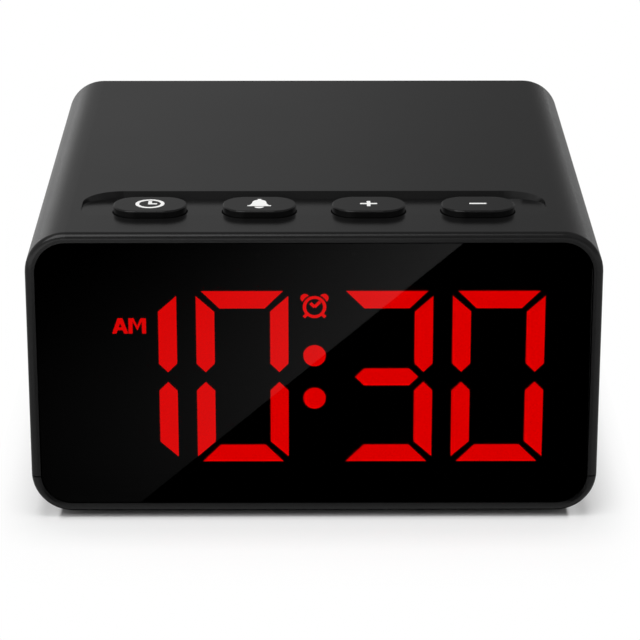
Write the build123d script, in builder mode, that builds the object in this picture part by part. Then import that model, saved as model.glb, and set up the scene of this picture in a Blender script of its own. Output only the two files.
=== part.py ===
from build123d import *
import os
from math import atan2, sqrt, tan

# A digital LED desk clock, in millimetres: +Z is up, the window faces -Y, and the origin
# is on the table under the middle of the case.
os.makedirs("parts", exist_ok=True)

# Case: a rounded tube in two shells that part at a seam near the bottom
WIDTH = 96.0
BODY_HEIGHT = 49.8
DEPTH = 98.8
CORNER_RADIUS = 6.9
EDGE_RADIUS = 1.04
WALL = 1.6
FLOOR = 2.6
SEAM_HEIGHT = 6.5
SEAM_GAP = 0.2
RIB = 1.4
RIB_HEIGHT = 2.0
ROOT = 0.3
LIP = 0.9
LIP_HEIGHT = 1.2

# Clearances
SEAT_FIT = 0.1
SLOT_FIT = 0.05
EDGE_FIT = 0.5
SLIDE_FIT = 0.1
BUTTON_FIT = 0.2
SCREW_FIT = 0.05

# Window and rear panel
WINDOW = 1.5
WINDOW_INSET = 0.15
WINDOW_BEVEL = 0.1
TAPE = 0.2
TAPE_WIDTH = 1.6
PANEL = 2.0
PANEL_INSET = 1.2
SOUND_HOLE = 1.5
SOUND_RING = 2.9

# Display: four digits, a colon and two marks behind the window
WINDOW_GAP = 0.15
MASK = 0.15
REFLECTOR = 5.0
REFLECTOR_MARGIN = 1.0
LIGHT_GUIDE = 3.0
BOARD = 1.6
BOARD_BORDER = 1.2
BOARD_RISE = 2.5
STAKE_RADIUS = 0.8
DISPLAY_X = 0.07
DIGIT_SIDE = 9.5
DIGIT_BELOW = 8.78
DIGIT_ABOVE = 10.5
DIGIT_GAP = 3.3
COLON_GAP = 8.8
SEGMENT = 3.02
SEGMENT_GAP = 1.28
SHOULDER = 0.3
DOT_DIAMETER = 3.75
AM_GAP = 2.09
AM_DROP = 6.1
LETTER_HEIGHT = 2.67
LETTER_STROKE = 0.6
LETTER_GAP = 0.13
A_WIDTH = 2.6
A_TOP = 0.75
A_BAR = 0.45
M_WIDTH = 2.85
M_NOTCH = 1.2
ALARM_DROP = 2.8
ALARM_DIAMETER = 3.85
ALARM_STROKE = 0.47
ALARM_GAP = 0.32
HOUR_HAND = 0.95
MINUTE_HAND = 1.3
BELL_RADIUS = 0.72
MARK_BORDER = 0.6
CHIP = (1.6, 0.6, 0.8)

# Buttons: four caps in a scooped recess in the top of the case
BUTTON_NAMES = ("time", "alarm", "plus", "minus")
BUTTON_SIDE = 5.58
BUTTON_GAP = 6.12
BUTTON_DEPTH = 8.2
BUTTON_CORNER = 3.8
BUTTON_EDGE = 0.25
BUTTON_RISE = 1.25
BUTTON_TRAVEL = 0.5
BUTTON_WALL = 1.2
FLANGE = 1.0
FLANGE_RIM = 0.9
PLUNGER = 1.0
PLUNGER_RADIUS = 1.6
RECESS_SIDE = 8.6
RECESS_WIDTH = 16.6
RECESS_OFFSET = 3.1
RECESS_DROP = 1.35
RECESS_CORNER = 6.6
RECESS_LEAN = 18.0
RECESS_START = 0.04
PAD = 3.3
SWITCH = 6.0
SWITCH_HEIGHT = 3.4
SWITCH_MARGIN = 0.5
STEM_RADIUS = 1.7
STEM_RISE = 1.5
STEM_SINK = 0.6
KEY_GAP = 0.5
KEY_BOARD_DEPTH = 11.0
KEY_POST_RADIUS = 2.4
PIN = 0.6
PIN_PITCH = 2.54
PIN_COUNT = 8
PIN_REACH = 4.0

# Batteries, their bay in the base and the door that slides out at the back
CELL_COUNT = 3
CELL_DIAMETER = 10.5
CELL_LENGTH = 44.5
CELL_PITCH = 11.0
CELL_GAP = 0.3
CELL_EDGE = 0.6
NUB_DIAMETER = 3.8
NUB_HEIGHT = 0.8
CONTACT = 0.4
CONTACT_WIDTH = 8.0
LEAF = 4.0
LEAF_SPAN = 7.0
LEAF_HEIGHT = 4.5
TAB_WIDTH = 2.0
TAB_RISE = 0.8
TOUCH = 0.05
BAY_WALL = 1.4
BAY_SETBACK = 9.0
DOOR = 1.4
DOOR_OVERLAP = 1.5
DOOR_INSET = 1.0
TONGUE = 1.2
TONGUE_HEIGHT = 0.7
GRIP_COUNT = 5
GRIP_LENGTH = 14.0
GRIP_WIDTH = 0.8
GRIP_PITCH = 1.8
GRIP_DEPTH = 0.4
GRIP_INSET = 8.0
ARROW = 7.0
ARROW_GAP = 4.0

# Main board on the battery bay, and what it carries: spots are from the middle of its front edge
STANDOFF = 2.0
STANDOFF_RADIUS = 2.4
STANDOFF_INSET = 5.5
PANEL_GAP = 0.5
SIDE_X = 11.0
SOCKET_WIDTH = 8.94
SOCKET_HEIGHT = 3.26
SOCKET_CORNER = 1.5
SOCKET_DEPTH = 7.4
SOCKET_SHELL = 0.3
SOCKET_INSET = 0.2
SOCKET_FIT = 0.25
TONGUE_PLATE = (6.7, 0.7)
SOCKET_BACK = 1.2
BUZZER_RADIUS = 6.0
BUZZER_HEIGHT = 7.5
BUZZER_PORT = 1.0
BUZZER_SETBACK = 8.5
CAN_RADIUS = 4.0
CAN_HEIGHT = 10.0
CAN_SPOT = (-14.0, 16.4)
CONTROLLER = (10.0, 10.0, 1.4)
CONTROLLER_SPOT = (2.0, 18.4)
CRYSTAL = (11.0, 4.6, 3.5)
CRYSTAL_SPOT = (14.0, 9.4)
DRIVER = (18.0, 2.4, 7.5)
DRIVER_X = -21.0
CONNECTOR_WIDTH = 13.0
CONNECTOR_DEPTH = 5.0
CONNECTOR_HEIGHT = 6.0
CONNECTOR_INSET = 0.5
RIBBON_WIDTH = 10.0
RIBBON = 0.9
RIBBON_LEAD = 6.0
RIBBON_DIP = 6.0
RIBBON_EASE = 0.45

# Screws and feet
SCREW_RADIUS = 1.3
SCREW_HEAD_RADIUS = 2.4
SCREW_HEAD = 1.9
SCREW_RECESS = 0.6
SCREW_BITE = 8.0
CROSS = (2.6, 0.6, 1.0)
SMALL_SCREW_RADIUS = 1.0
SMALL_HEAD_RADIUS = 1.8
SMALL_HEAD = 1.2
SMALL_BITE = 2.4
SMALL_CROSS = (2.0, 0.5, 0.7)
POST_RADIUS = 3.2
BOSS_RADIUS = 3.9
POST_MARGIN = 0.5
POST_RISE = 1.5
POST_GAP = 1.5
WEB = 1.6
FOOT_RADIUS = 3.5
FOOT_HEIGHT = 1.6
FOOT_POCKET = 0.6
FOOT_CHAMFER = 0.3
FOOT_MARGIN = 0.6
FOOT_INSET = 9.5

# Levels, from the table up
UNDER = FOOT_HEIGHT - FOOT_POCKET
TOP = UNDER + BODY_HEIGHT
MIDDLE = (UNDER + TOP) / 2
SEAM = UNDER + SEAM_HEIGHT
FLOOR_TOP = UNDER + FLOOR
POST_FOOT = SEAM + POST_RISE
PAD_UNDER = TOP - PAD
FLANGE_UNDER = PAD_UNDER - FLANGE
BUTTON_TOP = TOP + BUTTON_RISE
STEM_TOP = FLANGE_UNDER - PLUNGER
SWITCH_TOP = STEM_TOP - STEM_RISE
KEY_BOARD_TOP = SWITCH_TOP - SWITCH_HEIGHT
KEY_BOARD_UNDER = KEY_BOARD_TOP - BOARD
BOARD_LOW = FLOOR_TOP + BOARD_RISE
BOARD_HIGH = FLANGE_UNDER - BUTTON_TRAVEL - EDGE_FIT
DIGIT_HEIGHT = BODY_HEIGHT - DIGIT_BELOW - DIGIT_ABOVE
DIGIT_TOP = TOP - DIGIT_ABOVE
DIGIT_Z = DIGIT_TOP - DIGIT_HEIGHT / 2
DOOR_TOP = UNDER + DOOR
CELL_Z = DOOR_TOP + CELL_GAP + CELL_DIAMETER / 2
BAY_CEILING = CELL_Z + CELL_DIAMETER / 2 + CELL_GAP
BAY_TOP = BAY_CEILING + BAY_WALL
MAIN_UNDER = BAY_TOP + STANDOFF
MAIN_TOP = MAIN_UNDER + BOARD
SOCKET_Z = MAIN_TOP + SOCKET_HEIGHT / 2
CONNECTOR_Z = MAIN_TOP + CONNECTOR_HEIGHT / 2

# Depths, from the front back
FRONT = -DEPTH / 2
BACK = DEPTH / 2
WINDOW_FRONT = FRONT + WINDOW_INSET
WINDOW_BACK = WINDOW_FRONT + WINDOW
LEDGE_FRONT = WINDOW_BACK + TAPE
MASK_FRONT = WINDOW_BACK + WINDOW_GAP
REFLECTOR_FRONT = MASK_FRONT + MASK
BOARD_FRONT = REFLECTOR_FRONT + REFLECTOR
BOARD_BACK = BOARD_FRONT + BOARD
KEY_BOARD_FRONT = BOARD_BACK + KEY_GAP
KEY_BOARD_BACK = KEY_BOARD_FRONT + KEY_BOARD_DEPTH
BUTTON_Y = KEY_BOARD_FRONT + SWITCH_MARGIN + SWITCH / 2
RECESS_Y = BUTTON_Y + RECESS_OFFSET
PANEL_BACK = BACK - PANEL_INSET
PANEL_FRONT = PANEL_BACK - PANEL
BAY_DEPTH = CELL_COUNT * CELL_PITCH + 2 * CELL_GAP
BAY_BACK = PANEL_FRONT - BAY_SETBACK
BAY_FRONT = BAY_BACK - BAY_DEPTH
DOOR_FRONT = BAY_FRONT - DOOR_OVERLAP
DOOR_BACK = BACK - DOOR_INSET
MAIN_BACK = PANEL_FRONT - PANEL_GAP
MAIN_FRONT = BAY_FRONT
FRONT_POST_Y = KEY_BOARD_BACK + POST_GAP + POST_RADIUS
FOOT_Y = DEPTH / 2 - FOOT_INSET
REAR_POST_Y = FOOT_Y - FOOT_RADIUS - POST_GAP - SCREW_HEAD_RADIUS

# Distances out from the middle
INSIDE_X = WIDTH / 2 - WALL
RIB_X = INSIDE_X - RIB_HEIGHT
BAY_X = (CELL_LENGTH + LEAF) / 2 + CONTACT + TOUCH
DOOR_X = BAY_X - SLIDE_FIT
POST_X = WIDTH / 2 - CORNER_RADIUS - SCREW_HEAD_RADIUS - POST_MARGIN
FOOT_X = WIDTH / 2 - CORNER_RADIUS - FOOT_RADIUS - FOOT_MARGIN
DIGIT_WIDTH = (WIDTH / 2 - DIGIT_SIDE - DIGIT_GAP - COLON_GAP / 2) / 2
UNITS_X = (COLON_GAP + DIGIT_WIDTH) / 2
TENS_X = UNITS_X + DIGIT_WIDTH + DIGIT_GAP
RECESS_LENGTH = WIDTH - 2 * RECESS_SIDE
BUTTON_COUNT = len(BUTTON_NAMES)
BUTTON_ROW = RECESS_LENGTH - 2 * BUTTON_SIDE
BUTTON_PITCH = (BUTTON_ROW + BUTTON_GAP) / BUTTON_COUNT
BUTTON_LENGTH = BUTTON_PITCH - BUTTON_GAP

# Places that several pieces share
BUTTON_XS = [(i - (BUTTON_COUNT - 1) / 2) * BUTTON_PITCH for i in range(BUTTON_COUNT)]
KEY_POST_X = BUTTON_XS[-1] + BUTTON_LENGTH / 2 + FLANGE_RIM + EDGE_FIT + KEY_POST_RADIUS
KEY_POSTS = [(side * KEY_POST_X, BUTTON_Y + SWITCH_MARGIN) for side in (-1, 1)]
POSTS = [(side * POST_X, y) for side in (-1, 1) for y in (FRONT_POST_Y, REAR_POST_Y)]
FEET = [(side * FOOT_X, end * FOOT_Y) for side in (-1, 1) for end in (-1, 1)]
STANDOFF_X = BAY_X - STANDOFF_INSET
STANDOFFS = [
    (side * STANDOFF_X, y)
    for side in (-1, 1)
    for y in (BAY_FRONT + STANDOFF_RADIUS, BAY_BACK - STANDOFF_RADIUS)
]
CELL_YS = [BAY_FRONT + CELL_GAP + (i + 0.5) * CELL_PITCH for i in range(CELL_COUNT)]
TERMINALS = [(-1, CELL_YS[0]), (1, CELL_YS[-1])]
PIN_XS = [(i - (PIN_COUNT - 1) / 2) * PIN_PITCH for i in range(PIN_COUNT)]
CELLS = {
    "hour_tens": (DISPLAY_X - TENS_X, "bc", ""),
    "hour_units": (DISPLAY_X - UNITS_X, "abcdef", "g"),
    "minute_tens": (DISPLAY_X + UNITS_X, "abcdg", "ef"),
    "minute_units": (DISPLAY_X + TENS_X, "abcdef", "g"),
}
DOTS = [(DISPLAY_X, DIGIT_Z + side * DIGIT_HEIGHT / 8) for side in (-1, 1)]
AM_WIDTH = A_WIDTH + LETTER_GAP + M_WIDTH
AM_RIGHT = DISPLAY_X - TENS_X + DIGIT_WIDTH / 2 - SEGMENT - AM_GAP
AM_SPOT = (AM_RIGHT - AM_WIDTH / 2, DIGIT_TOP - AM_DROP)
ALARM_SPOT = (DISPLAY_X, DIGIT_TOP - ALARM_DROP)
AM_BLOCK = (AM_WIDTH + 2 * MARK_BORDER, LETTER_HEIGHT + 2 * MARK_BORDER)
ALARM_BLOCK = ALARM_DIAMETER + 2 * (BELL_RADIUS + MARK_BORDER)


def write(piece, name):
    """Label one finished piece and save it."""
    piece.part.label = name
    export_step(piece.part, f"parts/{name}.step")


def plane_at(y):
    """The plane across the case at depth y, seen from the front: local x is X, local y is Z."""
    return Plane.XZ.offset(-y)


def body_section(y, inset=0.0):
    """The rounded cross-section of the case, drawn in by inset, at depth y."""
    with BuildSketch(plane_at(y)) as section:
        with Locations((0, MIDDLE)):
            RectangleRounded(WIDTH - 2 * inset, BODY_HEIGHT - 2 * inset, CORNER_RADIUS - inset)
    return section.sketch


def inner_band(y, inset, low, high):
    """The stretch from low to high of the case section, drawn in by inset, at depth y."""
    with BuildSketch(plane_at(y)) as band:
        add(body_section(y, inset))
        with Locations((0, (low + high) / 2)):
            Rectangle(WIDTH, high - low, mode=Mode.INTERSECT)
    return band.sketch


def rib_ring(y):
    """A ring that stands in from the case wall, at depth y."""
    with BuildSketch(plane_at(y)) as ring:
        add(body_section(y, WALL - ROOT))
        add(body_section(y, WALL + RIB_HEIGHT), mode=Mode.SUBTRACT)
    return ring.sketch


def case_tube():
    """The whole case before it is parted: tube, window ledge and the slot of the rear panel."""
    with BuildPart() as tube:
        extrude(body_section(FRONT), amount=-DEPTH)
        fillet(tube.faces().sort_by(Axis.Y)[0].edges(), EDGE_RADIUS)
        fillet(tube.faces().sort_by(Axis.Y)[-1].edges(), EDGE_RADIUS)
        extrude(body_section(FRONT, WALL), amount=-DEPTH, mode=Mode.SUBTRACT)
        extrude(rib_ring(LEDGE_FRONT), amount=-RIB)
        extrude(rib_ring(PANEL_FRONT - SLOT_FIT - RIB), amount=-RIB)
        extrude(rib_ring(PANEL_BACK + SLOT_FIT), amount=SLOT_FIT - PANEL_INSET)
    return tube.part


def segment_outline(letter, grow=0.0):
    """Corners of one segment about the middle of its digit, letters a to g clockwise from the top."""
    half_width = DIGIT_WIDTH / 2 + grow
    half_height = DIGIT_HEIGHT / 2 + grow
    bar = SEGMENT + 2 * grow
    back = (SEGMENT_GAP - 2 * grow) / sqrt(2)
    tip = half_width - bar / 2 - back
    level = [
        (-half_width + back, half_height),
        (half_width - back, half_height),
        (half_width - back - bar, half_height - bar),
        (-half_width + back + bar, half_height - bar),
    ]
    upright = [
        (half_width, half_height - back),
        (half_width, bar / 2 + back),
        (half_width - bar / 2, back),
        (half_width - bar, bar / 2 + back),
        (half_width - bar, half_height - back - bar + SHOULDER),
    ]
    middle = [
        (-tip, 0),
        (bar / 2 - tip, bar / 2),
        (tip - bar / 2, bar / 2),
        (tip, 0),
        (tip - bar / 2, -bar / 2),
        (bar / 2 - tip, -bar / 2),
    ]
    outline = level if letter in "ad" else middle if letter == "g" else upright
    across = -1 if letter in "ef" else 1
    up = -1 if letter in "cde" else 1
    return [(across * x, up * z) for x, z in outline]


def segment_faces(cell_x, letters, grow=0.0):
    """The faces of some segments of the digit at cell_x."""
    with BuildSketch(plane_at(MASK_FRONT)) as faces:
        with Locations((cell_x, DIGIT_Z)):
            for letter in letters:
                Polygon(*segment_outline(letter, grow))
    return faces.sketch


def dot_faces(grow=0.0):
    """The faces of the two colon dots."""
    with BuildSketch(plane_at(MASK_FRONT)) as faces:
        with Locations(*DOTS):
            Circle(DOT_DIAMETER / 2 + grow)
    return faces.sketch


def am_faces(grow=0.0):
    """The two letters of the morning mark."""
    lean = (A_WIDTH - A_TOP) / 2 / LETTER_HEIGHT
    leg = LETTER_STROKE * sqrt(1 + lean**2)
    bar_high = LETTER_STROKE + A_BAR
    left = AM_RIGHT - AM_WIDTH
    low = AM_SPOT[1] - LETTER_HEIGHT / 2
    shoulder = LETTER_STROKE + A_BAR / 2
    fall = (LETTER_HEIGHT - M_NOTCH) / (M_WIDTH / 2 - shoulder)
    with BuildSketch(plane_at(MASK_FRONT)) as faces:
        with Locations((left + A_WIDTH / 2, low)):
            Polygon(
                (-A_WIDTH / 2, 0),
                (A_WIDTH / 2, 0),
                (A_TOP / 2, LETTER_HEIGHT),
                (-A_TOP / 2, LETTER_HEIGHT),
            )
            Polygon(
                (leg - A_WIDTH / 2, 0),
                (A_WIDTH / 2 - leg, 0),
                (A_WIDTH / 2 - leg - lean * LETTER_STROKE, LETTER_STROKE),
                (leg - A_WIDTH / 2 + lean * LETTER_STROKE, LETTER_STROKE),
                mode=Mode.SUBTRACT,
            )
            Polygon(
                (leg - A_WIDTH / 2 + lean * bar_high, bar_high),
                (A_WIDTH / 2 - leg - lean * bar_high, bar_high),
                (0, (A_WIDTH / 2 - leg) / lean),
                mode=Mode.SUBTRACT,
            )
        with Locations((left + A_WIDTH + LETTER_GAP + M_WIDTH / 2, low)):
            Rectangle(M_WIDTH, LETTER_HEIGHT, align=(Align.CENTER, Align.MIN))
            Polygon(
                (shoulder - M_WIDTH / 2, LETTER_HEIGHT),
                (M_WIDTH / 2 - shoulder, LETTER_HEIGHT),
                (0, M_NOTCH),
                mode=Mode.SUBTRACT,
            )
            Polygon(
                (LETTER_STROKE - M_WIDTH / 2, 0),
                (0, 0),
                (0, M_NOTCH - LETTER_STROKE),
                (LETTER_STROKE - M_WIDTH / 2, M_NOTCH + fall * A_BAR),
                mode=Mode.SUBTRACT,
            )
            Polygon(
                (M_WIDTH / 2 - LETTER_STROKE, 0),
                (0, 0),
                (0, M_NOTCH - LETTER_STROKE),
                (M_WIDTH / 2 - LETTER_STROKE, M_NOTCH + fall * A_BAR),
                mode=Mode.SUBTRACT,
            )
        if grow:
            offset(amount=grow, kind=Kind.INTERSECTION)
    return faces.sketch


def alarm_faces(grow=0.0):
    """A small alarm clock: dial ring, hands, two bells and two feet."""
    radius = ALARM_DIAMETER / 2
    bell_out = radius + ALARM_GAP
    foot_out = radius + ALARM_STROKE / 4
    stroke = ALARM_STROKE + 2 * grow
    with BuildSketch(plane_at(MASK_FRONT)) as faces:
        with Locations(ALARM_SPOT):
            with PolarLocations(bell_out, 2, start_angle=45, angular_range=90, endpoint=True):
                Circle(BELL_RADIUS + grow)
            Circle(bell_out - grow, mode=Mode.SUBTRACT)
    with BuildSketch(plane_at(MASK_FRONT)) as dial:
        with Locations(ALARM_SPOT):
            with PolarLocations(foot_out, 2, start_angle=225, angular_range=90, endpoint=True):
                Rectangle(stroke + ALARM_STROKE, stroke)
            Circle(radius + grow)
            Circle(radius - ALARM_STROKE - grow, mode=Mode.SUBTRACT)
            for turn, hand in ((45, MINUTE_HAND), (135, HOUR_HAND)):
                with Locations(Location((0, 0, 0), (0, 0, turn))):
                    Rectangle(hand + grow, stroke, align=(Align.MIN, Align.CENTER))
    with BuildSketch(plane_at(MASK_FRONT)) as mark:
        add(faces.sketch)
        add(dial.sketch)
    return mark.sketch


def mark_block(spot, size, depth, y, grow=0.0):
    """The block of light guide behind a mark, added to the piece being made."""
    with Locations((spot[0], y, spot[1])):
        Box(
            size[0] + 2 * grow,
            depth,
            size[1] + 2 * grow,
            align=(Align.CENTER, Align.MIN, Align.CENTER),
        )


def screw(spot, seat, up, radius, reach, head_radius, head, cross):
    """One screw with its head against seat and its shank along +Z (up = 1) or -Z (up = -1)."""
    shank_side = Align.MIN if up > 0 else Align.MAX
    head_side = Align.MAX if up > 0 else Align.MIN
    with Locations((*spot, seat)):
        Cylinder(radius, reach, align=(Align.CENTER, Align.CENTER, shank_side))
        Cylinder(head_radius, head, align=(Align.CENTER, Align.CENTER, head_side))
    with Locations((*spot, seat - up * head)):
        for turn in (0, 90):
            Box(
                *cross,
                rotation=(0, 0, turn),
                align=(Align.CENTER, Align.CENTER, shank_side),
                mode=Mode.SUBTRACT,
            )


# Recess in the top: its floor leaves the top almost level at the front and curves down to a wall
# that leans back a little
RECESS_FRONT = RECESS_Y - RECESS_WIDTH / 2
RECESS_BACK = RECESS_Y + RECESS_WIDTH / 2
with BuildPart() as recess_cut:
    with BuildSketch(Plane.XY.offset(TOP)):
        with Locations((0, RECESS_Y)):
            RectangleRounded(RECESS_LENGTH, RECESS_WIDTH, RECESS_CORNER)
    extrude(amount=-2 * RECESS_DROP, taper=RECESS_LEAN)
    with BuildSketch(Plane.YZ):
        with BuildLine():
            TangentArc(
                (RECESS_FRONT, TOP + RECESS_START),
                (RECESS_BACK, TOP - RECESS_DROP),
                tangent=(1, 0),
            )
            Polyline(
                (RECESS_BACK, TOP - RECESS_DROP),
                (RECESS_BACK, TOP + RECESS_DROP),
                (RECESS_FRONT, TOP + RECESS_DROP),
                (RECESS_FRONT, TOP + RECESS_START),
            )
        make_face()
    extrude(amount=RECESS_LENGTH / 2, both=True, mode=Mode.INTERSECT)

# Upper housing: top, sides and the upper part of the window frame
with BuildPart() as upper_housing:
    add(case_tube())
    split(bisect_by=Plane.XY.offset(SEAM + SEAM_GAP / 2), keep=Keep.TOP)
    with BuildSketch(Plane.XY.offset(PAD_UNDER)):
        with Locations((0, RECESS_Y)):
            Rectangle(RECESS_LENGTH + 2 * WALL, RECESS_WIDTH + 2 * WALL)
    extrude(amount=PAD - WALL + ROOT)
    with BuildSketch(Plane.XY.offset(POST_FOOT)):
        with Locations(*POSTS):
            Circle(POST_RADIUS)
    extrude(amount=TOP - WALL + ROOT - POST_FOOT)
    with BuildSketch(Plane.XY.offset(POST_FOOT)):
        for x, y in POSTS:
            with Locations(((x + (INSIDE_X if x > 0 else -INSIDE_X)) / 2, y)):
                Rectangle(INSIDE_X - POST_X + 2 * ROOT, WEB)
    extrude(amount=TOP - CORNER_RADIUS - POST_FOOT)
    with BuildSketch(Plane.XY.offset(POST_FOOT)):
        with Locations(*POSTS):
            Circle(SCREW_RADIUS + SCREW_FIT)
    extrude(amount=SCREW_BITE + SCREW_FIT, mode=Mode.SUBTRACT)
    with BuildSketch(Plane.XY.offset(KEY_BOARD_TOP)):
        with Locations(*KEY_POSTS):
            Circle(KEY_POST_RADIUS)
    extrude(amount=PAD_UNDER + ROOT - KEY_BOARD_TOP)
    with BuildSketch(Plane.XY.offset(KEY_BOARD_TOP)):
        with Locations(*KEY_POSTS):
            Circle(SMALL_SCREW_RADIUS + SCREW_FIT)
    extrude(amount=SMALL_BITE + SCREW_FIT, mode=Mode.SUBTRACT)
    for side in (-1, 1):
        for rib_y in (BOARD_FRONT - SLOT_FIT - RIB / 2, BOARD_BACK + SLOT_FIT + RIB / 2):
            with Locations((side * (RIB_X + INSIDE_X + ROOT) / 2, rib_y, SEAM + SEAM_GAP / 2)):
                Box(
                    RIB_HEIGHT + ROOT,
                    RIB,
                    TOP - CORNER_RADIUS - SEAM,
                    align=(Align.CENTER, Align.CENTER, Align.MIN),
                )
    add(recess_cut.part, mode=Mode.SUBTRACT)
    with BuildSketch(Plane.XY.offset(PAD_UNDER)):
        with Locations(*[(x, BUTTON_Y) for x in BUTTON_XS]):
            RectangleRounded(
                BUTTON_LENGTH + 2 * BUTTON_FIT,
                BUTTON_DEPTH + 2 * BUTTON_FIT,
                BUTTON_CORNER + BUTTON_FIT,
            )
    extrude(amount=PAD, mode=Mode.SUBTRACT)
write(upper_housing, "upper_housing")

# Base tray: underside, lower part of the window frame, battery bay and screw bosses
with BuildPart() as base_tray:
    add(case_tube())
    split(bisect_by=Plane.XY.offset(SEAM - SEAM_GAP / 2), keep=Keep.BOTTOM)
    with BuildSketch(Plane.XY.offset(UNDER + WALL - ROOT)):
        with Locations((0, (LEDGE_FRONT + BACK) / 2)):
            Rectangle(WIDTH - 2 * CORNER_RADIUS, BACK - LEDGE_FRONT)
    extrude(amount=FLOOR - WALL + ROOT)
    with BuildSketch(Plane.XY.offset(FLOOR_TOP - ROOT)):
        with Locations(*POSTS):
            Circle(BOSS_RADIUS)
    extrude(amount=POST_FOOT - FLOOR_TOP + ROOT)
    with BuildSketch(Plane.XY.offset(FLOOR_TOP - ROOT)):
        with Locations((0, (BAY_FRONT + BAY_BACK) / 2)):
            Rectangle(2 * (BAY_X + BAY_WALL), BAY_DEPTH + 2 * BAY_WALL)
    extrude(amount=BAY_TOP - FLOOR_TOP + ROOT)
    with BuildSketch(Plane.XY.offset(BAY_TOP - ROOT)):
        with Locations(*STANDOFFS):
            Circle(STANDOFF_RADIUS)
    extrude(amount=STANDOFF + ROOT)
    with BuildSketch(Plane.XY.offset(MAIN_UNDER)):
        with Locations(*STANDOFFS):
            Circle(SMALL_SCREW_RADIUS + SCREW_FIT)
    extrude(amount=-SMALL_BITE - SCREW_FIT, mode=Mode.SUBTRACT)
    for side in (-1, 1):
        lip_run = REAR_POST_Y - FRONT_POST_Y - 2 * (POST_RADIUS + POST_GAP)
        lip_x = INSIDE_X - SEAT_FIT - LIP / 2
        with Locations((side * lip_x, (FRONT_POST_Y + REAR_POST_Y) / 2, SEAM + LIP_HEIGHT)):
            Box(LIP, lip_run, 2 * LIP_HEIGHT, align=(Align.CENTER, Align.CENTER, Align.MAX))
        with Locations((side * (INSIDE_X - LIP / 2), (FRONT_POST_Y + REAR_POST_Y) / 2, SEAM - SEAM_GAP)):
            Box(LIP + 2 * ROOT, lip_run, LIP_HEIGHT, align=(Align.CENTER, Align.CENTER, Align.MAX))
        with Locations((side * BAY_X, (BOARD_FRONT + BOARD_BACK) / 2, FLOOR_TOP - ROOT)):
            Box(
                POST_RADIUS,
                BOARD + 2 * (SLOT_FIT + RIB),
                ROOT + BOARD_RISE + BOARD_BORDER - SLOT_FIT,
                align=(Align.CENTER, Align.CENTER, Align.MIN),
            )
        with Locations((side * BAY_X, (BOARD_FRONT + BOARD_BACK) / 2, BOARD_LOW)):
            Box(
                POST_RADIUS,
                BOARD + 2 * SLOT_FIT,
                BOARD_BORDER,
                align=(Align.CENTER, Align.CENTER, Align.MIN),
                mode=Mode.SUBTRACT,
            )
    with BuildSketch(Plane.XY.offset(UNDER)):
        with Locations((0, (BAY_FRONT + BAY_BACK) / 2)):
            Rectangle(2 * BAY_X, BAY_DEPTH)
    extrude(amount=BAY_CEILING - UNDER, mode=Mode.SUBTRACT)
    channel_front = DOOR_FRONT - SLIDE_FIT
    with BuildSketch(Plane.XY.offset(UNDER)):
        with Locations((0, (channel_front + BACK) / 2)):
            Rectangle(2 * BAY_X, BACK - channel_front)
    extrude(amount=DOOR + SLIDE_FIT, mode=Mode.SUBTRACT)
    with BuildSketch(Plane.XY.offset(DOOR_TOP - TONGUE_HEIGHT - SLIDE_FIT)):
        with Locations((0, (channel_front + BACK) / 2)):
            Rectangle(2 * (DOOR_X + TONGUE + SLIDE_FIT), BACK - channel_front)
    extrude(amount=TONGUE_HEIGHT + 2 * SLIDE_FIT, mode=Mode.SUBTRACT)
    for side, cell_y in TERMINALS:
        with Locations((side * (BAY_X - CONTACT / 2), cell_y, (BAY_CEILING + BAY_TOP) / 2)):
            Box(
                CONTACT + 2 * SEAT_FIT,
                TAB_WIDTH + 2 * SEAT_FIT,
                2 * BAY_WALL,
                mode=Mode.SUBTRACT,
            )
    with BuildSketch(Plane.XY.offset(UNDER)):
        with Locations(*POSTS):
            Circle(SCREW_HEAD_RADIUS + SEAT_FIT)
    extrude(amount=SCREW_HEAD + SCREW_RECESS, mode=Mode.SUBTRACT)
    with BuildSketch(Plane.XY.offset(UNDER)):
        with Locations(*POSTS):
            Circle(SCREW_RADIUS + SEAT_FIT)
    extrude(amount=POST_FOOT - UNDER, mode=Mode.SUBTRACT)
    with BuildSketch(Plane.XY.offset(UNDER)):
        with Locations(*FEET):
            Circle(FOOT_RADIUS + SEAT_FIT)
    extrude(amount=FOOT_POCKET, mode=Mode.SUBTRACT)
write(base_tray, "base_tray")

# Smoked window, set in the frame from the front
with BuildPart() as front_window:
    extrude(body_section(WINDOW_FRONT, WALL + SEAT_FIT), amount=-WINDOW)
    chamfer(front_window.faces().sort_by(Axis.Y)[0].edges(), WINDOW_BEVEL)
write(front_window, "front_window")

# Adhesive tape between the window and its ledge
with BuildPart() as window_tape:
    extrude(body_section(WINDOW_BACK, WALL + SEAT_FIT), amount=-TAPE)
    extrude(body_section(WINDOW_BACK, WALL + SEAT_FIT + TAPE_WIDTH), amount=-TAPE, mode=Mode.SUBTRACT)
write(window_tape, "window_tape")

# Rear panel, held in its slot, with the power inlet and the sound holes
with BuildPart() as rear_panel:
    extrude(
        inner_band(PANEL_FRONT, WALL + SEAT_FIT, FLOOR_TOP + SEAT_FIT, TOP),
        amount=-PANEL,
    )
    with BuildSketch(plane_at(PANEL_FRONT)):
        with Locations((-SIDE_X, SOCKET_Z)):
            RectangleRounded(
                SOCKET_WIDTH + 2 * SOCKET_FIT,
                SOCKET_HEIGHT + 2 * SOCKET_FIT,
                SOCKET_CORNER + SOCKET_FIT,
            )
        with Locations((SIDE_X, MAIN_TOP + BUZZER_HEIGHT / 2)):
            Circle(SOUND_HOLE / 2)
            for ring in (1, 2):
                with PolarLocations(ring * SOUND_RING, 6 * ring):
                    Circle(SOUND_HOLE / 2)
    extrude(amount=-PANEL, mode=Mode.SUBTRACT)
write(rear_panel, "rear_panel")

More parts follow.
